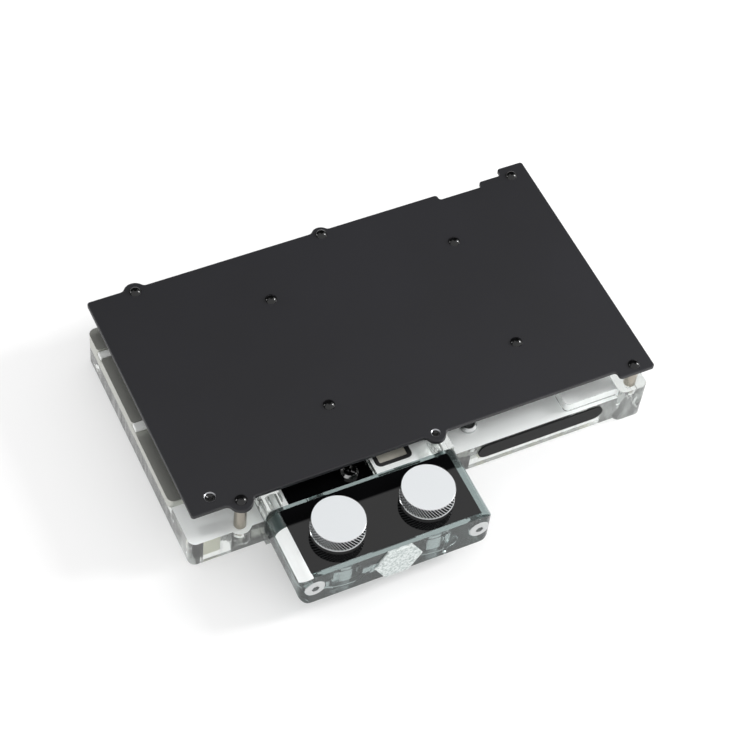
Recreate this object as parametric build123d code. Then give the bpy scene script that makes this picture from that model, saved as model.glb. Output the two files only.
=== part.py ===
from build123d import *
import os

# Graphics-card water block, lying on the clear face of its body with the backplate on top.
# Millimetres. While the pieces are made, X runs along the backplate from its left edge,
# Y runs back from its front edge and Z runs up from the underside of the clear body.

# Backplate
plate_length = 170.0
plate_depth = 94.1
plate_thick = 1.5
plate_corner = 1.8
plate_edge_break = 0.25
plate_top = 27.0
tab_width = 10.2
tab_out = 3.1
front_tab_width = 13.5
front_tab_out = 3.0
recess_from_right = 19.2
recess_length = 17.0
recess_depth = 2.4
ear_radius = 4.1
small_ear_radius = 3.5
ear_blend = 2.0

# Fixing points of the backplate
screw_left = 17.15
screw_middle = 87.4
screw_right_inset = 6.6
back_row_inset = 1.7
front_row_inset = 0.15
gpu_from_right = 75.4
gpu_off_middle = 0.95
gpu_pitch_x = 70.8
gpu_pitch_y = 48.2
open_hole_x = 8.3
open_hole_y = 5.0
open_hole_radius = 1.6
ear_hole_radius = 1.25
hole_bevel = 0.35
same_place = 0.001

# Button-head screws of the backplate
button_radius = 2.15
button_height = 1.45
button_socket = 1.5
button_socket_depth = 0.9
screw_shank_radius = 1.2
screw_shank_length = 6.0
thread_runout = 1.0
screw_hole_clearance = 0.15

# Standoffs between the body and the backplate, and the posts round the graphics chip
standoff_radius = 2.15
standoff_bevel = 0.3
post_radius = 2.6
stud_length = 3.0
thread_gap = 0.1

# Clear body
body_left = -1.0
body_right_inset = 0.6
body_front = -1.8
body_back_inset = 2.6
body_corner = 2.6
body_edge_break = 0.4
land_top = 12.5
cold_seat = 8.4
boss_radius = 3.9
boss_low = 5.5

# Raised end block of the body, under the right-hand standoffs, and the shelf beside it
end_block_width = 11.0
end_block_top = 16.6
end_block_out = 1.5
shelf_width = 31.0
shelf_set_back = 1.4
shelf_depth = 9.0
shelf_corner = 1.6
shelf_groove_width = 1.0
shelf_groove_depth = 0.5

# Raised bridge and lugs of the body, behind the terminal
bridge_top = 17.6
bridge_low = 2.0
bridge_back = 8.2
terminal_joint = -4.4
lug_out = 33.8
lug_width = 6.3
lug_top = 22.0
lug_back = 3.6
lug_round = 3.2
rise_width = 15.4
rise_top = 20.4
outlet_length = 13.4
outlet_wall = 1.1
outlet_front = -1.5
outlet_back = 5.4
outlet_roof = 1.4
outlet_recess = 1.6
outlet_corner = 2.0

# Black cover let into the bridge
cover_left = 33.6
cover_right = 64.5
cover_front = -2.4
cover_back = 7.4
cover_thick = 1.5
cover_screw_x = 57.2
cover_screw_y = 1.9
cover_gap = 0.15

# Nickel-plated cold plate
cold_thick = 4.0
cold_front = 9.6
cold_right_inset = 20.0
cold_corner = 2.5
notch_width = 32.0
notch_depth = 6.9
seat_gap = 0.15
land_gap = 1.9
side_pad_width = 11.0
side_pad_length = 29.0
pad_spacing = 3.2
side_pad_rise = 1.6
corner_pad_depth = 9.3
corner_pad_width = 12.0
corner_pad_rise = 2.6
core_size = 29.0
core_rise = 3.4
memory_pad_width = 9.0
memory_pad_length = 38.0
memory_pad_gap = 5.0
memory_pad_rise = 2.0
pad_corner = 1.0
pad_clear = 1.5
fin_field_x = 42.0
fin_pitch = 1.3
fin_thick = 0.6
fin_height = 2.4

# Coolant channels milled into the body under the cold plate
channel_floor = 2.6
channel_width = 13.0
channel_corner = 4.0
plenum_length = 7.0
fin_side_gap = 0.6
fin_tip_gap = 0.1
inlet_turn_y = 22.0
wing_x = 28.0
tunnel_height = 3.6
passage_radius = 3.2
passage_height = 12.2
drop_y = 4.2

# Seals
seal_land = 1.5
seal_width = 1.8
seal_depth = 1.3
seal_gap = 0.1
port_seal_inner = 3.8
port_seal_width = 1.3
port_seal_depth = 1.0

# Cold plate screws
cap_radius = 3.0
cap_height = 1.7
cap_round = 0.8
cap_cross = 0.8
cap_cross_length = 3.8
cap_cross_depth = 0.9
cap_shank_radius = 1.5
cap_shank_length = 8.5
cap_edge_inset = 5.0
cap_hole_clearance = 0.2

# Terminal
terminal_x = 58.75
terminal_width = 69.4
terminal_front = -33.0
terminal_bottom = 7.0
terminal_top = 22.0
terminal_plan_corner = 3.2
terminal_edge_round = 4.6
port_pitch = 32.2
port_off_middle = 0.35
port_y = -18.95
port_radius = 6.0
port_depth = 6.0
port_throat_radius = 5.2
port_throat_gap = 0.2
port_face_radius = 9.4
port_face_depth = 0.5

# Black glossy panel let into the top of the terminal
panel_length = 61.0
panel_front = -31.1
panel_back = -5.7
panel_thick = 1.2
panel_gap = 0.1

# Long screws of the terminal
long_screw_spacing = 59.2
long_screw_height = 15.2
long_head_radius = 3.6
long_head_height = 2.2
long_head_proud = 0.25
long_head_bevel = 0.35
long_socket = 2.5
long_socket_depth = 1.5
long_shank_radius = 2.0
long_screw_bite = 6.5

# Hexagonal badge on the terminal and long badge on the body
hex_badge_flats = 15.0
hex_badge_thick = 0.7
hex_badge_bevel = 0.25
side_badge_from_lug = 12.0
side_badge_from_end = 5.55
side_badge_height = 6.5
side_badge_z = 8.5
side_badge_thick = 0.6

# Stop plugs
plug_radius = 9.1
plug_knurl_height = 5.1
plug_collar_height = 1.0
plug_collar_step = 0.15
plug_bevel = 0.35
knurl_count = 56
knurl_depth = 0.42
plug_shank_length = 6.4
plug_groove_depth = 0.75
plug_ring_width = 1.9
plug_ring_gap = 0.35
thread_clearance = 0.1

# Light strip along the front of the body
strip_from_lug = 10.45
strip_from_end = 4.4
strip_y = 3.4
strip_thick = 1.0
strip_low = 0.9
strip_height = 4.2
strip_gap = 0.2
chip_count = 5
chip_width = 3.4
chip_height = 2.4
chip_thick = 1.1
connector_x = 7.3
connector_y = 2.9
connector_width = 6.2
connector_depth = 3.6
connector_low = 2.3
connector_top = 10.9
connector_wall = 0.7
connector_socket_depth = 5.0
lead_bay_width = 3.4

# Screw beside the terminal, let into the land of the body
land_screw_x = 104.6
land_screw_y = 7.0
land_screw_length = 6.0

# Values that follow from the sizes above
plate_under = plate_top - plate_thick
body_right = plate_length - body_right_inset
body_back = plate_depth - body_back_inset
screw_right = plate_length - screw_right_inset
back_row = plate_depth - back_row_inset
front_row = front_row_inset
cold_top = cold_seat + cold_thick
end_block_left = body_right - end_block_width
shelf_left = body_right - shelf_width
shelf_front = body_front + shelf_set_back
ports_middle = terminal_x + port_off_middle
port_xs = (ports_middle - port_pitch / 2, ports_middle + port_pitch / 2)
long_screw_xs = (terminal_x - long_screw_spacing / 2, terminal_x + long_screw_spacing / 2)
low_points = [(screw_left, front_row), (screw_left, back_row), (screw_middle, back_row)]
high_points = [(screw_right, front_row), (screw_right, back_row)]
cold_right = plate_length - cold_right_inset
corner_pad_front = body_back - corner_pad_depth
side_pad_back = corner_pad_front - pad_spacing
gpu_x = plate_length - gpu_from_right
gpu_y = plate_depth / 2 + gpu_off_middle
long_head_seat = terminal_front + long_head_height - long_head_proud
lug_left = terminal_x - lug_out
lug_right = terminal_x + lug_out
rise_left = cover_right + cover_gap
strip_left = lug_right + strip_from_lug
strip_right = end_block_left - strip_from_end
side_badge_left = lug_right + side_badge_from_lug
side_badge_right = end_block_left - side_badge_from_end
channel_front = cold_front + seal_land * 2 + seal_width
wing_back = body_back - cap_edge_inset * 2 - seal_land - seal_width
fins_left = gpu_x - fin_field_x / 2 - fin_side_gap
fins_right = gpu_x + fin_field_x / 2 + fin_side_gap
fins_back = wing_back - channel_width
fins_front = 2 * gpu_y - fins_back
gpu_points = [
    (gpu_x + side * gpu_pitch_x / 2, gpu_y + end * gpu_pitch_y / 2)
    for side in (-1, 1)
    for end in (-1, 1)
]


def block(x0, x1, y0, y1, z0, z1):
    """A plain box between two corners."""
    shape = Box(x1 - x0, y1 - y0, z1 - z0, align=(Align.MIN, Align.MIN, Align.MIN))
    return Pos(x0, y0, z0) * shape


def round_block(x0, x1, y0, y1, z0, z1, radius):
    """A box with its four upright edges rounded."""
    shape = RectangleRounded(x1 - x0, y1 - y0, radius)
    return extrude(Pos((x0 + x1) / 2, (y0 + y1) / 2, z0) * shape, amount=z1 - z0)


def disc(x, y, z0, z1, radius):
    """An upright cylinder between two heights."""
    shape = Cylinder(radius, z1 - z0, align=(Align.CENTER, Align.CENTER, Align.MIN))
    return Pos(x, y, z0) * shape


def facing(x, y, z, side):
    """An upright plane that faces back (1) or forward (-1), with its own X along the model's X."""
    return Plane(origin=(x, y, z), x_dir=(1, 0, 0), z_dir=(0, side, 0))


def rod_y(x, z, y0, y1, radius):
    """A cylinder lying along Y between two depths."""
    return extrude(facing(x, y0, z, 1) * Circle(radius), amount=y1 - y0)


def ring(x, y, z0, z1, outer, inner):
    """An upright tube."""
    return disc(x, y, z0, z1, outer) - disc(x, y, z0, z1, inner)


def with_ear(outline, x, y, radius):
    """Add a round ear to a flat outline and blend its two inner corners."""
    outline = outline + Pos(x, y) * Circle(radius)
    centre = Vector(x, y)
    inner = [v for v in outline.vertices() if abs((Vector(v) - centre).length - radius) < same_place]
    return fillet(inner, ear_blend)


def plate_outline():
    """Outline of the backplate, with its tabs, its cut-out at the back and its ears."""
    outline = Rectangle(plate_length, plate_depth, align=(Align.MIN, Align.MIN))
    tab = Rectangle(tab_width, tab_out, align=(Align.MAX, Align.MIN))
    outline += Pos(plate_length, plate_depth) * tab
    front_tab = Rectangle(front_tab_width, front_tab_out, align=(Align.MAX, Align.MAX))
    outline += Pos(plate_length, 0) * front_tab
    recess = Rectangle(recess_length, recess_depth, align=(Align.MAX, Align.MAX))
    outline -= Pos(plate_length - recess_from_right, plate_depth) * recess
    outline = fillet(outline.vertices(), min(plate_corner, recess_depth / 2.2))
    outline = with_ear(outline, screw_left, front_row, ear_radius)
    outline = with_ear(outline, screw_left, back_row, ear_radius)
    outline = with_ear(outline, screw_middle, front_row, small_ear_radius)
    return with_ear(outline, screw_middle, back_row, small_ear_radius)


def make_backplate():
    plate = extrude(Pos(0, 0, plate_under) * plate_outline(), amount=plate_thick)
    plate = chamfer(plate.faces().sort_by(Axis.Z)[-1].edges(), plate_edge_break)
    for x, y in low_points + high_points + gpu_points:
        plate -= disc(x, y, plate_under, plate_top, screw_shank_radius + screw_hole_clearance)
    for x, y, radius in (
        (open_hole_x, open_hole_y, open_hole_radius),
        (screw_middle, front_row, ear_hole_radius),
    ):
        plate -= disc(x, y, plate_under, plate_top, radius)
        cone = Cone(radius, radius + hole_bevel, hole_bevel, align=(Align.CENTER, Align.CENTER, Align.MAX))
        plate -= Pos(x, y, plate_top) * cone
    return plate


def button_screw(x, y):
    """A low domed screw with a hexagon socket, standing on the backplate."""
    dome_radius = (button_radius**2 + button_height**2) / (2 * button_height)
    ball = Pos(x, y, plate_top + button_height - dome_radius) * Sphere(dome_radius)
    head = ball & disc(x, y, plate_top, plate_top + button_height, button_radius)
    socket = RegularPolygon(button_socket / 2, 6, major_radius=False)
    bottom = plate_top + button_height - button_socket_depth
    head -= extrude(Pos(x, y, bottom) * socket, amount=button_height)
    return head + disc(x, y, plate_top - screw_shank_length, plate_top, screw_shank_radius)


def standoff(x, y, foot, radius):
    """A turned pillar with a threaded hole for the screw above it."""
    pillar = disc(x, y, foot, plate_under, radius)
    pillar = chamfer(pillar.edges(), standoff_bevel)
    pillar += disc(x, y, foot - stud_length, foot, screw_shank_radius)
    depth = screw_shank_length - plate_thick + thread_runout
    return pillar - disc(x, y, plate_under - depth, plate_under, screw_shank_radius + thread_gap)


def flat_round(x0, x1, y0, y1, radius):
    """A flat rectangle with rounded corners."""
    return Pos((x0 + x1) / 2, (y0 + y1) / 2) * RectangleRounded(x1 - x0, y1 - y0, radius)


def cold_outline():
    """Outline of the cold plate: flush with the body at the left and back, cut clear of the front land."""
    outline = flat_round(body_left, cold_right, cold_front + notch_depth, body_back, cold_corner)
    outline += flat_round(body_left + notch_width, cold_right, cold_front, body_back, cold_corner)
    for x, y in low_points:
        outline -= Pos(x, y) * Circle(boss_radius + seat_gap)
    return outline


def channel_outline():
    """The milled channels: in at one port, round the power stage, through the fins, out at the other."""
    half = channel_width / 2
    spans = [
        (fins_left, fins_right, fins_front - plenum_length, fins_back + plenum_length),
        (port_xs[1] - half, port_xs[1] + half, channel_front, fins_front),
        (min(port_xs[1] - half, fins_left), max(port_xs[1] + half, fins_right),
         fins_front - plenum_length, fins_front - plenum_length + channel_width),
        (port_xs[0] - half, port_xs[0] + half, channel_front, inlet_turn_y + half),
        (wing_x - half, port_xs[0] + half, inlet_turn_y - half, inlet_turn_y + half),
        (wing_x - half, wing_x + half, inlet_turn_y - half, wing_back),
        (wing_x - half, fins_left + channel_width, fins_back, wing_back),
    ]
    outline = flat_round(*spans[0], channel_corner)
    for span in spans[1:]:
        outline += flat_round(*span, channel_corner)
    return outline


def seal_outline(gap=0.0):
    """The ring-shaped groove round the channels; a gap makes the seal that lies in it."""
    channels = channel_outline().face()
    outer = offset(channels, seal_land + seal_width - gap)
    return outer - offset(channels, seal_land + gap)


def cap_points():
    """Places of the cold plate's screws, outside the seal and clear of the standoffs."""
    left = body_left + side_pad_width + cap_edge_inset
    right = cold_right - cap_edge_inset
    front = cold_front + cap_edge_inset
    back = body_back - cap_edge_inset
    middle = (front + back) / 2
    outlet_side = port_xs[1] + channel_width / 2 + seal_land + seal_width
    return [
        (left, front + notch_depth),
        (left, middle),
        (left, back - cap_edge_inset),
        (right, front),
        (right, middle),
        (right, back),
        ((outlet_side + right) / 2, front),
        ((left + screw_middle) / 2, back),
        ((screw_middle + right) / 2, back),
    ]


def make_body():
    """The clear body: slab, end block, bridge and lugs, with every channel, groove and seat cut in it."""
    body = round_block(body_left, body_right, body_front, body_back, 0, land_top, body_corner)
    body = chamfer(body.faces().sort_by(Axis.Z)[0].edges(), body_edge_break)
    beyond = body_corner + cold_corner
    seat_right = cold_right + seat_gap
    body -= round_block(body_left - beyond, seat_right, cold_front + notch_depth - land_gap,
                        body_back + beyond, cold_seat, land_top, cold_corner)
    body -= round_block(body_left + notch_width - seat_gap, seat_right, cold_front - seat_gap,
                        body_back + beyond, cold_seat, land_top, cold_corner)
    for x, y in low_points:
        body += disc(x, y, boss_low, land_top, boss_radius)
    body += round_block(end_block_left, body_right, body_front - end_block_out, body_back,
                        body_edge_break, end_block_top, body_corner)
    body += disc(screw_right, back_row, boss_low, end_block_top, boss_radius)
    body += round_block(shelf_left, body_right - body_corner, shelf_front, shelf_front + shelf_depth,
                        cold_seat, end_block_top, shelf_corner)
    body -= block(end_block_left - shelf_groove_width, end_block_left, shelf_front,
                  shelf_front + shelf_depth, end_block_top - shelf_groove_depth, end_block_top)

    body += block(lug_left, lug_right, terminal_joint, bridge_back, bridge_low, bridge_top)
    for outer, inner in ((lug_left, lug_left + lug_width), (lug_right, lug_right - lug_width)):
        lug = block(min(outer, inner), max(outer, inner), terminal_joint, lug_back, bridge_low, lug_top)
        upright = lug.edges().filter_by(Axis.Z)
        body += fillet(upright.sort_by_distance((inner, terminal_joint, lug_top))[0], lug_round)
    for x in long_screw_xs:
        body -= rod_y(x, long_screw_height, terminal_joint, terminal_joint + long_screw_bite + thread_runout,
                      long_shank_radius + thread_gap)
    body += block(rise_left, rise_left + rise_width, terminal_joint, bridge_back, bridge_low, rise_top)
    body -= block(cover_left - cover_gap, cover_right + cover_gap, cover_front - cover_gap,
                  cover_back + cover_gap, bridge_top - cover_thick, bridge_top)
    body -= disc(cover_screw_x, cover_screw_y, bridge_top - cap_shank_length / 2, bridge_top,
                 cap_shank_radius + thread_gap)

    channels = extrude(Pos(0, 0, channel_floor) * channel_outline(), amount=cold_seat - channel_floor)
    channels -= block(fins_left, fins_right, fins_front, fins_back,
                      channel_floor, cold_seat - fin_height - fin_tip_gap)
    body -= channels
    body -= extrude(Pos(0, 0, cold_seat - seal_depth) * seal_outline(), amount=seal_depth)
    for x in port_xs:
        body -= rod_y(x, passage_height, terminal_joint, drop_y, passage_radius)
        body -= disc(x, drop_y, channel_floor, passage_height + passage_radius, passage_radius)
        body -= block(x - passage_radius, x + passage_radius, drop_y, channel_front + channel_corner,
                      channel_floor, channel_floor + tunnel_height)
    outlet_left = rise_left + outlet_wall
    outlet_floor = rise_top - outlet_recess
    for low, high in ((channel_floor, outlet_floor - outlet_roof), (outlet_floor, rise_top)):
        body -= round_block(outlet_left, outlet_left + outlet_length, outlet_front, outlet_back,
                            low, high, outlet_corner)
    for x, y in cap_points():
        body -= disc(x, y, cold_top - cap_shank_length, cold_seat, cap_shank_radius + thread_gap)
    depth = stud_length + thread_runout
    for points, top in ((low_points, land_top), (high_points, end_block_top)):
        for x, y in points:
            body -= disc(x, y, top - depth, top, screw_shank_radius + thread_gap)
    body -= disc(land_screw_x, land_screw_y, land_top - land_screw_length - thread_runout, land_top,
                 cap_shank_radius + thread_gap)

    body -= block(strip_left - strip_gap, strip_right + strip_gap, strip_y - chip_thick - strip_gap,
                  strip_y + strip_thick + strip_gap, 0, strip_low + strip_height + strip_gap)
    half_x = connector_width / 2 + strip_gap
    half_y = connector_depth / 2 + strip_gap
    body -= block(connector_x - half_x, connector_x + half_x + lead_bay_width, connector_y - half_y,
                  connector_y + half_y, 0, connector_top)
    return body


def make_cold_plate():
    """The nickel-plated cold plate, with contact pads above and a field of thin fins below."""
    plate = extrude(Pos(0, 0, cold_seat) * cold_outline(), amount=cold_thick)
    core = core_size / 2
    side_pad_front = side_pad_back - side_pad_length
    pads = [
        (body_left, body_left + side_pad_width, side_pad_front, side_pad_back, side_pad_rise),
        (body_left, body_left + corner_pad_width, corner_pad_front, body_back, corner_pad_rise),
        (gpu_x - core, gpu_x + core, gpu_y - core, gpu_y + core, core_rise),
    ]
    reach = core + memory_pad_gap
    half = memory_pad_width / 2
    for side in (-1, 1):
        x = gpu_x + side * (reach + half)
        inner = gpu_pitch_y / 2 - post_radius - pad_clear
        pads.append((x - half, x + half, gpu_y - inner, gpu_y + inner, memory_pad_rise))
        y = gpu_y + side * (reach + half)
        long_half = memory_pad_length / 2
        pads.append((gpu_x - long_half, gpu_x + long_half, y - half, y + half, memory_pad_rise))
    wing_half = channel_width / 2
    pads.append((wing_x - wing_half, wing_x + wing_half, inlet_turn_y, wing_back, memory_pad_rise))
    for x0, x1, y0, y1, rise in pads:
        pad = round_block(x0, x1, y0, y1, cold_top, cold_top + rise, pad_corner)
        pad -= [disc(x, y, cold_top, cold_top + rise, post_radius + pad_clear) for x, y in gpu_points]
        plate += pad & extrude(Pos(0, 0, cold_top) * cold_outline(), amount=rise)

    count = int(fin_field_x // fin_pitch)
    first = gpu_x - (count - 1) * fin_pitch / 2
    for index in range(count):
        x = first + index * fin_pitch
        plate += block(x - fin_thick / 2, x + fin_thick / 2, fins_front, fins_back,
                       cold_seat - fin_height, cold_seat)
    for x, y in cap_points():
        plate -= disc(x, y, cold_seat, cold_top, cap_shank_radius + cap_hole_clearance)
    for x, y in gpu_points:
        plate -= disc(x, y, cold_top - stud_length - fin_tip_gap, cold_top, screw_shank_radius + thread_gap)
    return plate


def cap_screw(x, y, seat, length):
    """A pan-head screw with a cross recess."""
    head = disc(x, y, seat, seat + cap_height, cap_radius)
    head = chamfer(head.edges().sort_by(Axis.Z)[-1], cap_round)
    top = seat + cap_height
    for turn in (45, 135):
        bar = Box(cap_cross_length, cap_cross, 2 * cap_cross_depth)
        head -= Pos(x, y, top) * Rot(0, 0, turn) * bar
    return head + disc(x, y, seat - length, seat, cap_shank_radius)


def joint_ring(x, gap):
    """The seal groove round a passage at the terminal's joint; a gap makes the seal that lies in it."""
    low = terminal_joint - port_seal_depth
    outer = rod_y(x, passage_height, low, terminal_joint, port_seal_inner + port_seal_width - gap)
    return outer - rod_y(x, passage_height, low, terminal_joint, port_seal_inner + gap)


def plug_ring(x, gap):
    """The seal groove under a stop plug; a gap makes the seal that lies in it."""
    inner = port_radius + plug_ring_gap
    return ring(x, port_y, terminal_top, terminal_top + plug_groove_depth, inner + plug_ring_width - gap,
                inner + gap)


def make_terminal():
    """The clear terminal block, bored through for the ports, the passages and the long screws."""
    width = terminal_width
    height = terminal_top - terminal_bottom
    depth = terminal_joint - terminal_front
    section = facing(terminal_x, terminal_front, terminal_bottom + height / 2, 1)
    shape = extrude(section * RectangleRounded(width, height, terminal_edge_round), amount=depth)
    plan = Pos(terminal_x, terminal_front + depth / 2, terminal_bottom) * Rectangle(width, depth)
    front = plan.vertices().sort_by(Axis.Y)[:2]
    shape &= extrude(fillet(front, terminal_plan_corner), amount=height)
    shape -= block(terminal_x - panel_length / 2 - panel_gap, terminal_x + panel_length / 2 + panel_gap,
                   panel_front - panel_gap, panel_back + panel_gap, terminal_top - panel_thick, terminal_top)
    for x in port_xs:
        shape -= disc(x, port_y, terminal_bottom, terminal_top, port_throat_radius)
        throat_top = terminal_top - plug_shank_length - port_throat_gap
        shape -= disc(x, port_y, throat_top, terminal_top, port_radius)
        face = terminal_bottom + port_face_depth
        shape -= disc(x, port_y, face, face + port_depth, port_radius)
        shape -= disc(x, port_y, terminal_bottom, face, port_face_radius)
        shape -= rod_y(x, passage_height, port_y, terminal_joint, passage_radius)
        shape -= joint_ring(x, 0)
    for x in long_screw_xs:
        shape -= rod_y(x, long_screw_height, terminal_front, terminal_joint,
                       long_shank_radius + screw_hole_clearance)
        shape -= rod_y(x, long_screw_height, terminal_front, long_head_seat,
                       long_head_radius + screw_hole_clearance)
    return shape


def long_screw(x):
    """A long flat-headed screw that holds the terminal to a lug of the body."""
    front = long_head_seat - long_head_height
    head = rod_y(x, long_screw_height, front, long_head_seat, long_head_radius)
    head = chamfer(head.edges().sort_by(Axis.Y)[0], long_head_bevel)
    socket = RegularPolygon(long_socket / 2, 6, major_radius=False)
    head -= extrude(facing(x, front, long_screw_height, 1) * socket, amount=long_socket_depth)
    back = terminal_joint + long_screw_bite
    return head + rod_y(x, long_screw_height, long_head_seat, back, long_shank_radius)


def stop_plug(x):
    """A turned stop plug: knurled head, plain collar with a seal groove, and a threaded shank."""
    collar_top = terminal_top + plug_collar_height
    head_top = collar_top + plug_knurl_height
    collar = disc(x, port_y, terminal_top, collar_top, plug_radius + plug_collar_step)
    collar = chamfer(collar.edges().sort_by(Axis.Z)[-1], plug_collar_step)
    head = disc(x, port_y, collar_top, head_top, plug_radius)
    head = chamfer(head.edges().sort_by(Axis.Z)[-1], plug_bevel)
    angle = 360 / knurl_count
    notch = Polygon((plug_radius - knurl_depth, 0), (plug_radius + knurl_depth, -knurl_depth * 2),
                    (plug_radius + knurl_depth, knurl_depth * 2), align=None)
    cutter = extrude(Pos(0, 0, collar_top) * notch, amount=plug_knurl_height)
    head -= [Pos(x, port_y, 0) * Rot(0, 0, index * angle) * cutter for index in range(knurl_count)]
    collar -= plug_ring(x, 0)
    shank = disc(x, port_y, terminal_top - plug_shank_length, terminal_top, port_radius - thread_clearance)
    return collar + head + shank


def make_side_badge():
    """The long round-ended badge on the front wall of the body, left plain."""
    plane = facing((side_badge_left + side_badge_right) / 2, body_front, side_badge_z, -1)
    outline = SlotOverall(side_badge_right - side_badge_left, side_badge_height)
    return extrude(plane * outline, amount=side_badge_thick)


def make_hex_badge():
    """The six-sided badge on the front of the terminal, left plain."""
    middle = (terminal_bottom + terminal_top) / 2
    outline = RegularPolygon(hex_badge_flats / 2, 6, major_radius=False)
    badge = extrude(facing(terminal_x, terminal_front, middle, -1) * outline, amount=hex_badge_thick)
    return chamfer(badge.faces().sort_by(Axis.Y)[0].edges(), hex_badge_bevel)


def make_panel():
    """The black glossy panel let flush into the terminal."""
    panel = block(terminal_x - panel_length / 2, terminal_x + panel_length / 2, panel_front, panel_back,
                  terminal_top - panel_thick, terminal_top)
    for x in port_xs:
        panel -= disc(x, port_y, terminal_top - panel_thick, terminal_top, port_radius)
    return panel


def make_cover():
    """The black cover let flush into the bridge, held by a cross-recess screw."""
    cover = block(cover_left, cover_right, cover_front, cover_back, bridge_top - cover_thick, bridge_top)
    return cover - disc(cover_screw_x, cover_screw_y, bridge_top - cover_thick, bridge_top,
                        cap_shank_radius + cap_hole_clearance)


def make_strip():
    return block(strip_left, strip_right, strip_y, strip_y + strip_thick, strip_low, strip_low + strip_height)


def make_chips():
    """Light chips, evenly spaced along the front of the strip."""
    pitch = (strip_right - strip_left) / chip_count
    z = strip_low + (strip_height - chip_height) / 2
    chips = []
    for index in range(chip_count):
        left = strip_left + pitch * (index + 0.5) - chip_width / 2
        chips.append(block(left, left + chip_width, strip_y - chip_thick, strip_y, z, z + chip_height))
    return chips


def make_connector():
    """The pale socket for the light strip's lead, set up under the land and open at the bottom."""
    outer_x = connector_width / 2
    outer_y = connector_depth / 2
    shell = block(connector_x - outer_x, connector_x + outer_x, connector_y - outer_y, connector_y + outer_y,
                  connector_low, connector_top)
    inner_x = outer_x - connector_wall
    inner_y = outer_y - connector_wall
    return shell - block(connector_x - inner_x, connector_x + inner_x, connector_y - inner_y,
                         connector_y + inner_y, connector_low, connector_low + connector_socket_depth)


def make_seal():
    return extrude(Pos(0, 0, cold_seat - seal_depth) * seal_outline(seal_gap), amount=seal_depth)


parts = {
    "backplate": [make_backplate()],
    "perimeter_screws": [button_screw(x, y) for x, y in low_points + high_points],
    "gpu_screws": [button_screw(x, y) for x, y in gpu_points],
    "standoffs": [standoff(x, y, land_top, standoff_radius) for x, y in low_points]
    + [standoff(x, y, end_block_top, standoff_radius) for x, y in high_points],
    "gpu_posts": [standoff(x, y, cold_top, post_radius) for x, y in gpu_points],
    "clear_body": [make_body()],
    "cold_plate": [make_cold_plate()],
    "cold_plate_screws": [cap_screw(x, y, cold_top, cap_shank_length) for x, y in cap_points()],
    "coolant_seal": [make_seal()],
    "bridge_cover": [make_cover()],
    "bridge_cover_screw": [cap_screw(cover_screw_x, cover_screw_y, bridge_top, cap_shank_length / 2)],
    "land_screw": [cap_screw(land_screw_x, land_screw_y, land_top, land_screw_length)],
    "terminal_block": [make_terminal()],
    "terminal_panel": [make_panel()],
    "terminal_screws": [long_screw(x) for x in long_screw_xs],
    "terminal_seals": [joint_ring(x, seal_gap) for x in port_xs],
    "stop_plug_left": [stop_plug(port_xs[0])],
    "stop_plug_right": [stop_plug(port_xs[1])],
    "plug_seals": [plug_ring(x, seal_gap) for x in port_xs],
    "hex_badge": [make_hex_badge()],
    "side_badge": [make_side_badge()],
    "light_strip": [make_strip()],
    "light_chips": make_chips(),
    "light_connector": [make_connector()],
}

# The frame's origin is under the middle of the whole part, on the surface that it lies on.
left_most = min(0, body_left)
front_most = terminal_front - hex_badge_thick
back_most = plate_depth + tab_out
to_origin = Pos(-(left_most + plate_length) / 2, -(front_most + back_most) / 2, 0)

os.makedirs("parts", exist_ok=True)
for name, shapes in parts.items():
    solids = [solid for shape in shapes for solid in (to_origin * shape).solids()]
    export_step(Compound(children=solids), f"parts/{name}.step")
    print(name, len(solids))
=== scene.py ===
import math

import bmesh
import bpy
from mathutils import Matrix, Vector


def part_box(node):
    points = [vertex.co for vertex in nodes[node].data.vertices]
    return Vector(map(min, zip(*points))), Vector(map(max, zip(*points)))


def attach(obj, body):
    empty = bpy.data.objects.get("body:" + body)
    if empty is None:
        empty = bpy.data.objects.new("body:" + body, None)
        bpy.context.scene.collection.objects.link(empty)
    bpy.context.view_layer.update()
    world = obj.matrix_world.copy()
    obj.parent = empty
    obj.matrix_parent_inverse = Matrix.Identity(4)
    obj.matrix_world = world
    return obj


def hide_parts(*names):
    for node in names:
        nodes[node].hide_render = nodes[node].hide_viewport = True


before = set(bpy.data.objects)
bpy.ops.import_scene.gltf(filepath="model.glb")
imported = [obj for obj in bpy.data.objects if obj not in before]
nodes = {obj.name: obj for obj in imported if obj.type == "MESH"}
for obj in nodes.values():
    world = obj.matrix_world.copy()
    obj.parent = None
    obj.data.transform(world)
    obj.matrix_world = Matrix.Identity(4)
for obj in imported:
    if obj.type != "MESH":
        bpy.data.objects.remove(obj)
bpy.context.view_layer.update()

# The backplate's left edge, front edge and top, in millimetres
MM = 0.001
plate_left = -84.5
plate_front = -31.75
plate_top = 27.0

# How clear acrylic bends light, lets lamps through and is marked by the cutter
acrylic_ior = 1.49
shadow_clear = 0.6
cutter_stretch = 0.2
level_wave = 0.05

# Sizes of the surface patterns, in millimetres
blast_grain = 0.3846
dye_cloud = 45.45
cutter_wave = 3.846
cutter_depth = 0.7
mill_mark = 4.167
turning_ring = 1.6667
oxide_grain = 1.1111
polish_haze = 16.67
silver_grain = 0.6667
silver_mottle = 1.1111
rubber_bloom = 2.5
colour_mottle = 3.3333

# The small holes of the backplate: place from its left and front edges, and radius
hole_places = ((8.3, 5.0, 1.6), (87.4, 0.15, 1.25))

# Black set screws in those holes; their black stands in for the shade inside the holes, painted shade
set_screw_gap = 0.05
set_screw_length = 0.7
set_screw_middle = -0.65
set_screw_bevel = 0.3
socket_share = 0.35
socket_depth = 0.45
round_sides = 48

# The bright rims of those holes: how far each ring grows out, and its height on the plate
rim_profile = ((0.0, -0.33), (0.12, -0.14), (0.38, 0.02))

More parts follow.
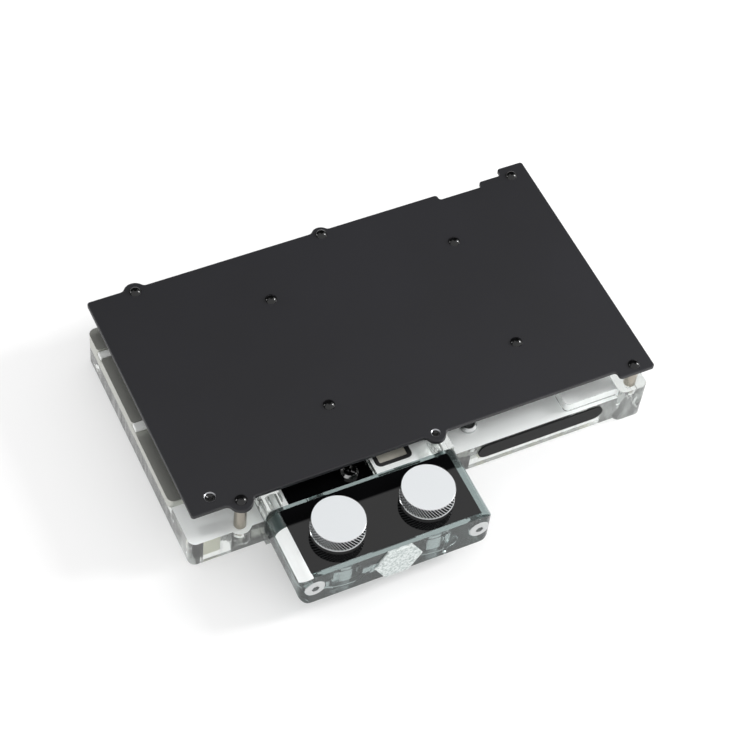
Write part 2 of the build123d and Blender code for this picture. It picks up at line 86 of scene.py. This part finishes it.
# Stop plugs: heights above the seat, and below the top of the head
plug_out = 6.1
plug_shank_radius = 5.9
collar_height = 1.0
collar_bevel = 0.15
neck_height = 1.1
band_start = 1.25
band_end = 0.2
crown_start = 0.12
crown_step = 0.05
crown_bevel = 0.2

# The knurled band of the plugs: slanting cuts, crossed by shallower ones that lean the other way
knurl_cuts = 52
knurl_columns = 4
knurl_rows = 12
knurl_depth = 0.5
cross_depth = 0.2
# Faces in the cuts deeper than this share of the cut get painted shade
deep_share = 0.8

# Low pale ribs on the cold plate, a painted highlight for the light that catches its machined steps
rib_left = -85.4
rib_right = -74.6
rib_foot = 12.4
rib_top = 14.2
rib_width = 3.1
rib_edge = 0.5
rib_backs = (50.45, 18.15)

# The outlet's recess, with its rubber seal and window plate
raised_left = 64.65
recess_in = 1.1
recess_front = -1.5
recess_floor = 18.8
recess_size = Vector((13.4, 6.9, 0))
seal_gap = 0.05
seal_border = 1.5
seal_corner = 1.9
seal_thick = 1.45
window_inset = 1.6
window_corner = 0.6
window_thick = 1.0
corner_segments = 8

# Stage, light and camera, as the photograph has them
floor_size = 6.0
floor_drop = 0.05
ceiling_edge = 0.5668
edge_softness = 0.0012
least_rise = 0.001
right_lamp = (0.84, -0.17, 0.53)
left_lamp = (-0.82, 0.56, 0.2)
camera_azimuth = math.radians(-31.2171)
camera_elevation = math.radians(53.2108)
camera_roll = math.radians(7.4777)
camera_distance = 758.1986
camera_target = (78.7272, 29.3586)
focal_pixels = 2246.5226
picture_pixels = 750
sensor_width = 36.0


def mm(x, y, z):
    """A point given in millimetres, as a vector in metres."""
    return Vector((x * MM, y * MM, z * MM))


def on_plate(x, y, z):
    """A point given from the backplate's left edge, front edge and top."""
    return mm(plate_left + x, plate_front + y, plate_top + z)


def new_piece(name, shape, finish):
    """Turns a finished bmesh into a piece that rides with the object, and gives it its finish."""
    mesh = bpy.data.meshes.new(name)
    bmesh.ops.recalc_face_normals(shape, faces=shape.faces)
    shape.to_mesh(mesh)
    shape.free()
    piece = bpy.data.objects.new(name, mesh)
    bpy.context.scene.collection.objects.link(piece)
    mesh.materials.append(finish)
    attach(piece, "root")
    return piece


def srgb(hex_colour):
    """A linear colour from an sRGB hex value."""
    values = [int(hex_colour[i:i + 2], 16) / 255 for i in (1, 3, 5)]
    linear = [v / 12.92 if v <= 0.04045 else ((v + 0.055) / 1.055) ** 2.4 for v in values]
    return (*linear, 1.0)


def add(tree, kind, settings=None, **links):
    """Adds a node with its settings and links. A setting is a socket's name or number, or an option.
    A link is named for its socket, with _ for a space, or in0, in1 and so on for its number."""
    node = tree.nodes.new(kind)
    for key, value in (settings or {}).items():
        if isinstance(key, int) or key in node.inputs.keys():
            node.inputs[key].default_value = value
        else:
            setattr(node, key, value)
    for key, source in links.items():
        by_number = key.startswith("in") and key[2:].isdigit()
        socket = node.inputs[int(key[2:]) if by_number else key.replace("_", " ")]
        tree.links.new(source, socket)
    return node


def maths(tree, operation, first, second):
    """The result of a maths node on a value, and on another value or a number."""
    if isinstance(second, (int, float)):
        return add(tree, "ShaderNodeMath", {"operation": operation, 1: second}, in0=first).outputs[0]
    return add(tree, "ShaderNodeMath", {"operation": operation}, in0=first, in1=second).outputs[0]


def mixed(tree, share, first, second):
    """Two shaders mixed by a share of the second."""
    return add(tree, "ShaderNodeMixShader", in0=share, in1=first, in2=second).outputs[0]


def material(name):
    """A new material with a Principled shader, its tree and its object coordinates."""
    made = bpy.data.materials.new(name)
    made.use_nodes = True
    tree = made.node_tree
    shader = tree.nodes["Principled BSDF"]
    place = tree.nodes.new("ShaderNodeTexCoord").outputs["Object"]
    return made, tree, shader, place


def noise(tree, place, size, detail=2.0, roughness=0.5):
    """A noise whose cells have this size in millimetres."""
    settings = {"Scale": 1 / (size * MM), "Detail": detail, "Roughness": roughness}
    return add(tree, "ShaderNodeTexNoise", settings, Vector=place).outputs["Fac"]


def two_tones(tree, shader, pattern, low, low_colour, high, high_colour):
    """Colours a surface between two tones by a pattern."""
    tone = add(tree, "ShaderNodeValToRGB", Fac=pattern)
    for element, position, colour in zip(tone.color_ramp.elements, (low, high), (low_colour, high_colour)):
        element.position = position
        element.color = srgb(colour)
    tree.links.new(tone.outputs["Color"], shader.inputs["Base Color"])


def ranged(tree, shader, socket, pattern, low, high):
    """Lets a pattern move one of the shader's values between two bounds."""
    value = add(tree, "ShaderNodeMapRange", {"To Min": low, "To Max": high}, Value=pattern)
    tree.links.new(value.outputs["Result"], shader.inputs[socket])


def raised(tree, shader, pattern, height, strength):
    """Raises a pattern on the surface by a height in millimetres."""
    bump = add(tree, "ShaderNodeBump", {"Strength": strength, "Distance": height * MM}, Height=pattern)
    tree.links.new(bump.outputs["Normal"], shader.inputs["Normal"])
    return bump


def dress(finish, *names):
    """Gives a finish to CAD nodes."""
    for name in names:
        slots = nodes[name].material_slots
        if not slots:
            nodes[name].data.materials.append(finish)
        for one in slots:
            one.material = finish


# Anodised aluminium, bead-blasted and dyed black: a fine even grain with a soft broad sheen.
def black_anodised():
    made, tree, shader, place = material("black_anodised_aluminium")
    grain = noise(tree, place, blast_grain, roughness=0.6)
    cloud = noise(tree, place, dye_cloud, detail=3.0)
    two_tones(tree, shader, cloud, 0.3, "#16161A", 0.7, "#19191E")
    ranged(tree, shader, "Roughness", grain, 0.42, 0.5)
    raised(tree, shader, grain, 0.03, 0.08)
    return made


def satin_share(tree, place, facing, zones):
    """A value of 1 on the faces that lie in one of the zones, and 0 on the others."""
    total = None
    for zone in zones:
        inside = None
        for source, axis, low, high in zone:
            value, unit = (place, MM) if source == "place" else (facing, 1.0)
            for operation, bound in (("GREATER_THAN", low), ("LESS_THAN", high)):
                test = maths(tree, operation, value.outputs[axis], bound * unit)
                inside = test if inside is None else maths(tree, "MULTIPLY", inside, test)
        total = inside if total is None else maths(tree, "MAXIMUM", total, inside)
    return total


# Cast acrylic, milled and polished: clear, with a tint. On the body it is a slight cool tint; on the
# terminal the darker tint is partly its own colour and partly painted shade for the shadow under it.
# The upright walls keep the faint upright waves that the cutter leaves, which bend what shows through
# them. Faces inside a satin zone scatter light like frosted glass: on the body they are left as the
# cutter made them, and on the terminal's rounded left edge the near-white satin is painted light.
# Part of the light of a lamp passes straight through.
def clear_acrylic(name, tint_and_shade, satin_zones, wave, satin_clear):
    made, tree, shader, place = material(name)
    shader.inputs["IOR"].default_value = acrylic_ior
    lamps = add(tree, "ShaderNodeLightPath").outputs["Is Shadow Ray"]
    through = add(tree, "ShaderNodeBsdfTransparent", {"Color": srgb(tint_and_shade)})
    share = maths(tree, "MULTIPLY", lamps, shadow_clear)
    surface = mixed(tree, share, shader.outputs[0], through.outputs[0])
    tree.links.new(surface, tree.nodes["Material Output"].inputs["Surface"])
    here = add(tree, "ShaderNodeSeparateXYZ", Vector=place)
    facing = add(tree, "ShaderNodeNewGeometry").outputs["Normal"]
    facing = add(tree, "ShaderNodeVectorMath", {"operation": "ABSOLUTE"}, in0=facing)
    facing = add(tree, "ShaderNodeSeparateXYZ", Vector=facing.outputs[0])
    upright_waves = add(tree, "ShaderNodeMapping", {"Scale": (1.0, 1.0, cutter_stretch)}, Vector=place)
    waves = noise(tree, upright_waves.outputs["Vector"], cutter_wave, detail=1.0, roughness=0.4)
    bump = raised(tree, shader, waves, cutter_depth, wave)
    settings = {"From Min": 0.3, "From Max": 0.9, "To Min": wave, "To Max": level_wave}
    depth = add(tree, "ShaderNodeMapRange", settings, Value=facing.outputs["Z"])
    tree.links.new(depth.outputs["Result"], bump.inputs["Strength"])
    satin = satin_share(tree, here, facing, satin_zones)
    tone = add(tree, "ShaderNodeMix", {"data_type": "RGBA", 6: srgb(tint_and_shade), 7: srgb("#F4F7F6")}, in0=satin)
    tree.links.new(tone.outputs[2], shader.inputs["Base Color"])
    ranged(tree, shader, "Roughness", satin, 0.0, 0.45)
    ranged(tree, shader, "Transmission Weight", satin, 0.93, satin_clear)
    return made


# Copper, milled and nickel plated: a warm grey with a broad sheen and faint tool marks.
def bright_nickel():
    made, tree, shader, place = material("bright_nickel_plate")
    shader.inputs["Base Color"].default_value = srgb("#CDCEC8")
    shader.inputs["Metallic"].default_value = 1.0
    ranged(tree, shader, "Roughness", noise(tree, place, mill_mark, detail=3.0), 0.46, 0.56)
    return made


# Turned metal, bare or plated: rings of fine tool marks round each piece.
def turned_metal(name, colour, low, high):
    made, tree, shader, place = material(name)
    shader.inputs["Base Color"].default_value = srgb(colour)
    shader.inputs["Metallic"].default_value = 1.0
    settings = {"wave_type": "BANDS", "bands_direction": "Z", "Scale": 1 / (turning_ring * MM),
                "Distortion": 1.5, "Detail": 2.0}
    rings = add(tree, "ShaderNodeTexWave", settings, Vector=place).outputs["Fac"]
    ranged(tree, shader, "Roughness", rings, low, high)
    return made


# Steel with black oxide: near black, oily and half glossy.
def black_oxide():
    made, tree, shader, place = material("black_oxide_steel")
    shader.inputs["Base Color"].default_value = srgb("#0A0A0B")
    ranged(tree, shader, "Roughness", noise(tree, place, oxide_grain), 0.14, 0.22)
    return made


# Cast acrylic, dyed black and polished: a deep black mirror. An underside that is bonded down is
# paler, which lightens the clear block below it.
def gloss_black(name, underside="#060607"):
    made, tree, shader, place = material(name)
    facing = add(tree, "ShaderNodeNewGeometry").outputs["Normal"]
    level = add(tree, "ShaderNodeSeparateXYZ", Vector=facing).outputs["Z"]
    below = maths(tree, "LESS_THAN", level, -0.5)
    settings = {"data_type": "RGBA", 6: srgb("#060607"), 7: srgb(underside)}
    tone = add(tree, "ShaderNodeMix", settings, in0=below)
    tree.links.new(tone.outputs[2], shader.inputs["Base Color"])
    ranged(tree, shader, "Roughness", noise(tree, place, polish_haze, detail=3.0), 0.0, 0.012)
    shader.inputs["IOR"].default_value = acrylic_ior
    return made


# Aluminium, sandblasted and clear anodised: pale, with a fine sparkle. Coarse blasting leaves a
# mottle of a second tone.
def frosted_silver(name, colour, rough_low, rough_high, metallic, dim=None):
    made, tree, shader, place = material(name)
    shader.inputs["Base Color"].default_value = srgb(colour)
    shader.inputs["Metallic"].default_value = metallic
    if dim:
        mottle = noise(tree, place, silver_mottle, detail=4.0, roughness=0.7)
        two_tones(tree, shader, mottle, 0.38, dim, 0.58, colour)
    grain = noise(tree, place, silver_grain)
    ranged(tree, shader, "Roughness", grain, rough_low, rough_high)
    raised(tree, shader, grain, 0.04, 0.25)
    return made


# Nitrile rubber, moulded: soft black with a slight bloom.
def black_rubber():
    made, tree, shader, place = material("nitrile_rubber")
    shader.inputs["Base Color"].default_value = srgb("#1B1B1C")
    ranged(tree, shader, "Roughness", noise(tree, place, rubber_bloom), 0.5, 0.7)
    return made


# Moulded or lacquered surfaces, painted shade and painted highlight: a plain colour with a faint mottle.
def plain(name, dark, light, roughness, gloss=0.5):
    made, tree, shader, place = material(name)
    two_tones(tree, shader, noise(tree, place, colour_mottle, detail=3.0), 0.0, dark, 1.0, light)
    shader.inputs["Roughness"].default_value = roughness
    shader.inputs["Specular IOR Level"].default_value = gloss
    return made


# Where the acrylic is left satin: the level lands and the walls of the shelf. The terminal's rounded
# edge to the left of the plugs is near-white satin as painted light, for the bright light it bends in from
# below
level_lands = [("place", "X", -90.0, 73.5), ("place", "Z", 9.0, 21.0), ("facing", "Z", 0.9, 1.1)]
shelf_walls = [("place", "X", 50.0, 75.0), ("place", "Y", -33.2, -22.0), ("place", "Z", 13.0, 16.5)]
painted_light_edge = [("place", "X", -61.0, -56.2), ("place", "Y", -70.0, -43.75), ("place", "Z", 17.0, 23.0),
             ("facing", "Z", 0.25, 1.1)]

# Finishes of the CAD nodes
dress(clear_acrylic("cast_acrylic_body", "#F4F7F5", [level_lands, shelf_walls], 0.9, 0.12), "clear_body")
# Terminal: its darker tint is partly painted shade, and its near-white left edge is painted light
dress(clear_acrylic("cast_acrylic_terminal", "#A2B0AF", [painted_light_edge], 0.35, 0.05), "terminal_block")
dress(black_anodised(), "backplate")
dress(black_oxide(), "perimeter_screws", "gpu_screws")
dress(turned_metal("turned_nickel_brass", "#A9A398", 0.2, 0.34), "standoffs", "gpu_posts")
dress(turned_metal("stainless_steel", "#CED0D0", 0.34, 0.46), "cold_plate_screws", "land_screw",
      "terminal_screws")
dress(turned_metal("dark_zinc_steel", "#9A9A9A", 0.08, 0.16), "bridge_cover_screw")
dress(bright_nickel(), "cold_plate")
dress(gloss_black("gloss_black_acrylic"), "bridge_cover")
dress(gloss_black("bonded_black_acrylic", "#8E9C9C"), "terminal_panel")
dress(plain("black_lacquered_badge", "#1A1A1B", "#1E1E1F", 0.5, 0.15), "side_badge")
dress(frosted_silver("blasted_silver_badge", "#E4E9E8", 0.3, 0.6, 0.5, "#A9B3B1"), "hex_badge")
dress(black_rubber(), "coolant_seal", "terminal_seals", "plug_seals")
dress(plain("lacquered_board", "#EDEDEA", "#F6F6F4", 0.4), "light_strip")
dress(plain("light_chip_resin", "#E8E6D0", "#F4F2E0", 0.25), "light_chips")
dress(plain("cream_nylon", "#E2DEC6", "#EDE9D4", 0.45), "light_connector")

# Finishes of the new pieces
plug_finish = frosted_silver("satin_silver_plug", "#DDE0E2", 0.3, 0.42, 0.3)
collar_finish = turned_metal("turned_silver_aluminium", "#C8C9CA", 0.16, 0.26)
# Near black painted shade for the deep knurl cuts, where shade falls between the ridges
cut_shade_finish = plain("darkened_knurl_cut", "#060607", "#0B0B0C", 0.5, 0.2)
# Black oxide on the set screws, a dark piece standing in for the shade inside the plate's holes: painted
# shade
set_screw_shade_finish = black_oxide()
rim_finish = turned_metal("bare_aluminium_rim", "#A4A5A8", 0.25, 0.4)
# Pale rib tone: painted highlight for the bright bars where light catches the cold plate's steps
rib_highlight_finish = plain("rib_painted_highlight", "#D8DAD8", "#EEF0EE", 0.35)
seal_finish = black_rubber()
window_finish = plain("nickel_window", "#B4B1A6", "#D0CDC2", 0.4)


def next_ring(shape, edges):
    """Extrudes a ring of edges in place, and returns the vertices and edges of the new ring."""
    made = bmesh.ops.extrude_edge_only(shape, edges=edges)["geom"]
    ring = [item for item in made if isinstance(item, bmesh.types.BMVert)]
    lines = [item for item in made if isinstance(item, bmesh.types.BMEdge)]
    return ring, [line for line in lines if all(vert in ring for vert in line.verts)]


def knurl_cut(count, row):
    """How deep the cuts are at one point of the knurled band."""
    if (count + row) % knurl_columns == 0:
        return knurl_depth
    if (count - row) % knurl_columns == 0:
        return cross_depth
    return 0.0


def plug_rings(shank_end, seat, top, collar_radius):
    """The plug's rings from its shank to its crown, as radius, height and row of the knurled band."""
    head_radius = collar_radius - collar_bevel
    neck_radius = head_radius - knurl_depth
    start = seat + band_start
    step = (top - band_end - start) / (knurl_rows - 1)
    foot = [(plug_shank_radius, shank_end), (plug_shank_radius, seat), (collar_radius, seat),
            (collar_radius, seat + collar_height - collar_bevel), (head_radius, seat + collar_height),
            (neck_radius, seat + neck_height)]
    band = [(head_radius, start + step * row, row) for row in range(knurl_rows)]
    crown = [(head_radius - crown_step, top - crown_start), (head_radius - crown_bevel, top)]
    return [(*ring, None) for ring in foot] + band + [(*ring, None) for ring in crown]


def finish_plug(piece, middle, collar_radius, seat, top):
    """Satin on the top and the ridges, painted shade in the deep cuts, and bright on the turned collar."""
    piece.data.materials.append(collar_finish)
    piece.data.materials.append(cut_shade_finish)
    deep = collar_radius - collar_bevel - deep_share * knurl_depth
    for face in piece.data.polygons:
        corners = [piece.data.vertices[number].co for number in face.vertices]
        inner = min((Vector((corner.x, corner.y, 0)) - middle).length for corner in corners) / MM
        height = face.center.z / MM
        if face.normal.z > 0.9:
            face.material_index = 0
        elif not seat + band_start < height < top - band_end:
            face.material_index = 1
        else:
            face.material_index = 2 if inner < deep else 0


def turned_plug(name):
    """A stop plug turned from its CAD box, with its knurled band cut between the collar and the crown."""
    low, high = (Vector(corner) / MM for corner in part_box(name))
    x = (low.x + high.x) / 2
    y = (low.y + high.y) / 2
    collar_radius = (high.x - low.x) / 2
    seat = high.z - plug_out
    middle = mm(x, y, 0)
    sides = knurl_cuts * knurl_columns
    first, *others = plug_rings(low.z, seat, high.z, collar_radius)
    shape = bmesh.new()
    bmesh.ops.create_circle(shape, cap_ends=True, segments=sides, radius=first[0] * MM,
                            matrix=Matrix.Translation(mm(x, y, first[1])))
    edges = shape.edges[:]
    for radius, height, row in others:
        ring, edges = next_ring(shape, edges)
        for vert in ring:
            around = vert.co - middle
            angle = math.atan2(around.y, around.x)
            count = round(angle / (2 * math.pi) * sides)
            out = radius if row is None else radius - knurl_cut(count, row)
            vert.co = middle + mm(math.cos(angle) * out, math.sin(angle) * out, height)
    bmesh.ops.contextual_create(shape, geom=edges)
    piece = new_piece(name + "_knurled", shape, plug_finish)
    finish_plug(piece, middle, collar_radius, seat, high.z)
    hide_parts(name)


def set_screw(index, x, y, radius):
    """A headless screw just below the face of the backplate, with a bevelled edge and a round socket. Its
    black is painted shade in the hole.
    """
    body_radius = (radius - set_screw_gap) * MM
    shape = bmesh.new()
    bmesh.ops.create_cone(shape, cap_ends=True, segments=round_sides, radius1=body_radius,
                          radius2=body_radius, depth=set_screw_length * MM)
    rim = [edge for edge in shape.edges if all(vert.co.z > 0 for vert in edge.verts)]
    bmesh.ops.bevel(shape, geom=rim, offset=set_screw_bevel * MM, affect="EDGES", segments=2, profile=0.5,
                    material=-1)
    cap = max(shape.faces, key=lambda face: face.calc_center_median().z)
    bmesh.ops.inset_region(shape, faces=[cap], thickness=radius * socket_share * MM)
    bmesh.ops.translate(shape, verts=cap.verts, vec=mm(0, 0, -socket_depth))
    bmesh.ops.translate(shape, verts=shape.verts, vec=on_plate(x, y, set_screw_middle))
    new_piece("set_screw_" + str(index), shape, set_screw_shade_finish)


def hole_rim(index, x, y, radius):
    """The bright cone that the countersink leaves round a hole of the backplate."""
    shape = bmesh.new()
    (grown, height), *others = rim_profile
    bmesh.ops.create_circle(shape, segments=round_sides, radius=(radius + grown) * MM,
                            matrix=Matrix.Translation(mm(0, 0, height)))
    first = shape.edges[:]
    edges = first
    for grown, height in others:
        ring, edges = next_ring(shape, edges)
        for vert in ring:
            flat = Vector((vert.co.x, vert.co.y, 0)).normalized()
            vert.co = flat * (radius + grown) * MM + mm(0, 0, height)
    bmesh.ops.bridge_loops(shape, edges=first + edges)
    bmesh.ops.translate(shape, verts=shape.verts, vec=on_plate(x, y, 0))
    new_piece("hole_rim_" + str(index), shape, rim_finish)


def rib(index, back):
    """A low bar with rounded edges that stands on the cold plate."""
    low = mm(rib_left, back - rib_width, rib_foot)
    high = mm(rib_right, back, rib_top)
    shape = bmesh.new()
    bmesh.ops.create_cube(shape, size=1.0)
    bmesh.ops.scale(shape, verts=shape.verts, vec=high - low)
    bmesh.ops.translate(shape, verts=shape.verts, vec=(high + low) / 2)
    bmesh.ops.bevel(shape, geom=shape.edges[:], offset=rib_edge * MM, affect="EDGES", segments=3,
                    profile=0.5, material=-1)
    new_piece("satin_rib_" + str(index), shape, rib_highlight_finish)


def flat_plate(name, inset, corner, border, thick, finish):
    """A flat rounded plate in the outlet's recess, or a frame where it has a border."""
    low = Vector((plate_left + raised_left + recess_in, plate_front + recess_front, recess_floor))
    high = low + recess_size - Vector((inset, inset, 0))
    low = low + Vector((inset, inset, 0))
    outline = ((low.x, low.y), (high.x, low.y), (high.x, high.y), (low.x, high.y))
    shape = bmesh.new()
    corners = [shape.verts.new(mm(x, y, low.z)) for x, y in outline]
    shape.faces.new(corners)
    bmesh.ops.bevel(shape, geom=corners, offset=corner * MM, affect="VERTICES", segments=corner_segments,
                    profile=0.5, material=-1)
    if border:
        faces = shape.faces[:]
        bmesh.ops.inset_region(shape, faces=faces, thickness=border * MM, use_boundary=True,
                               use_even_offset=True)
        bmesh.ops.delete(shape, geom=faces, context="FACES")
    made = bmesh.ops.extrude_face_region(shape, geom=shape.faces[:])["geom"]
    top = [item for item in made if isinstance(item, bmesh.types.BMVert)]
    bmesh.ops.translate(shape, verts=top, vec=mm(0, 0, thick))
    new_piece(name, shape, finish)


for name in ("stop_plug_left", "stop_plug_right"):
    turned_plug(name)
for index, (x, y, radius) in enumerate(hole_places):
    set_screw(index, x, y, radius)
    hole_rim(index, x, y, radius)
for index, back in enumerate(rib_backs):
    rib(index, back)
flat_plate("recess_seal", seal_gap, seal_corner, seal_border, seal_thick, seal_finish)
flat_plate("window_plate", window_inset, window_corner, 0.0, window_thick, window_finish)


# Floor: white paper that keeps the object's shadow and glows in part for the camera, for mirrors and
# for clear pieces.
def white_paper():
    made, tree, shader = material("white_paper")[:3]
    shader.inputs["Base Color"].default_value = (0.96, 0.96, 0.96, 1)
    shader.inputs["Roughness"].default_value = 0.9
    shader.inputs["Specular IOR Level"].default_value = 0.1
    ray = add(tree, "ShaderNodeLightPath").outputs
    seen_through = maths(tree, "MULTIPLY", ray["Is Transmission Ray"], 0.85)
    mirrored = maths(tree, "MULTIPLY", ray["Is Glossy Ray"], 0.5)
    seen = maths(tree, "MULTIPLY", ray["Is Camera Ray"], 0.35)
    share = maths(tree, "MAXIMUM", seen, maths(tree, "MAXIMUM", seen_through, mirrored))
    glow = add(tree, "ShaderNodeEmission", {"Strength": 1.0})
    surface = mixed(tree, share, shader.outputs[0], glow.outputs[0])
    tree.links.new(surface, tree.nodes["Material Output"].inputs["Surface"])
    return made


bpy.ops.mesh.primitive_plane_add(size=floor_size, location=(0, 0, -floor_drop * MM))
floor = bpy.context.object
floor.name = "floor"
floor.data.materials.append(white_paper())


def sky(tree, strength):
    """A white light from all round, of one strength or of one that a pattern gives."""
    if isinstance(strength, float):
        return add(tree, "ShaderNodeBackground", {"Color": (1, 1, 1, 1), "Strength": strength}).outputs[0]
    return add(tree, "ShaderNodeBackground", {"Color": (1, 1, 1, 1)}, Strength=strength).outputs[0]


# The room: even light on the object. Metal and acrylic see a white ceiling whose far edge lies
# across the view, and beyond it a dark room down to the table.
def studio():
    world = bpy.data.worlds.new("studio")
    bpy.context.scene.world = world
    world.use_nodes = True
    tree = world.node_tree
    ray = add(tree, "ShaderNodeLightPath").outputs
    heading = tree.nodes.new("ShaderNodeTexCoord").outputs["Generated"]
    split = add(tree, "ShaderNodeSeparateXYZ", Vector=heading).outputs
    run = maths(tree, "DIVIDE", split["Y"], maths(tree, "MAXIMUM", split["Z"], least_rise))
    skies = []
    for beyond in (0.02, 0.1):
        settings = {"From Min": ceiling_edge - edge_softness / 2,
                    "From Max": ceiling_edge + edge_softness / 2, "To Min": 1.0, "To Max": beyond}
        strength = add(tree, "ShaderNodeMapRange", settings, Value=run).outputs["Result"]
        skies.append(sky(tree, strength))
    mirrored, seen_through = skies
    light = mixed(tree, ray["Is Glossy Ray"], sky(tree, 0.95), mirrored)
    light = mixed(tree, ray["Is Transmission Ray"], light, seen_through)
    tree.links.new(light, tree.nodes["World Output"].inputs["Surface"])


studio()


def softbox(name, place, aim, size, watts):
    """A square lamp that faces a point."""
    lamp = bpy.data.lights.new(name, "AREA")
    lamp.shape = "RECTANGLE"
    lamp.size = size
    lamp.size_y = size
    lamp.energy = watts
    holder = bpy.data.objects.new(name, lamp)
    bpy.context.scene.collection.objects.link(holder)
    holder.location = place
    holder.rotation_euler = (Vector(aim) - Vector(place)).to_track_quat("-Z", "Y").to_euler()


softbox("right_softbox", right_lamp, (0, 0, 0), 0.25, 7.0)
softbox("left_softbox", left_lamp, (0, 0, 0.02), 0.15, 1.0)

# Camera at the photograph's angle
target = on_plate(*camera_target, 0)
back = Vector((math.sin(camera_azimuth) * math.cos(camera_elevation),
               -math.cos(camera_azimuth) * math.cos(camera_elevation), math.sin(camera_elevation)))
level = (-back).cross(Vector((0, 0, 1))).normalized()
upright = level.cross(-back)
right = level * math.cos(camera_roll) + upright * math.sin(camera_roll)
up = upright * math.cos(camera_roll) - level * math.sin(camera_roll)
eye = bpy.data.cameras.new("camera")
eye.sensor_width = sensor_width
eye.sensor_fit = "HORIZONTAL"
eye.lens = focal_pixels / picture_pixels * sensor_width
eye.clip_start = 0.01
camera = bpy.data.objects.new("camera", eye)
bpy.context.scene.collection.objects.link(camera)
camera.matrix_world = Matrix.Translation(target + back * camera_distance * MM) @ Matrix((
    (right.x, up.x, back.x, 0), (right.y, up.y, back.y, 0), (right.z, up.z, back.z, 0), (0, 0, 0, 1)))
bpy.context.scene.camera = camera
bpy.context.scene.view_settings.view_transform = "Standard"
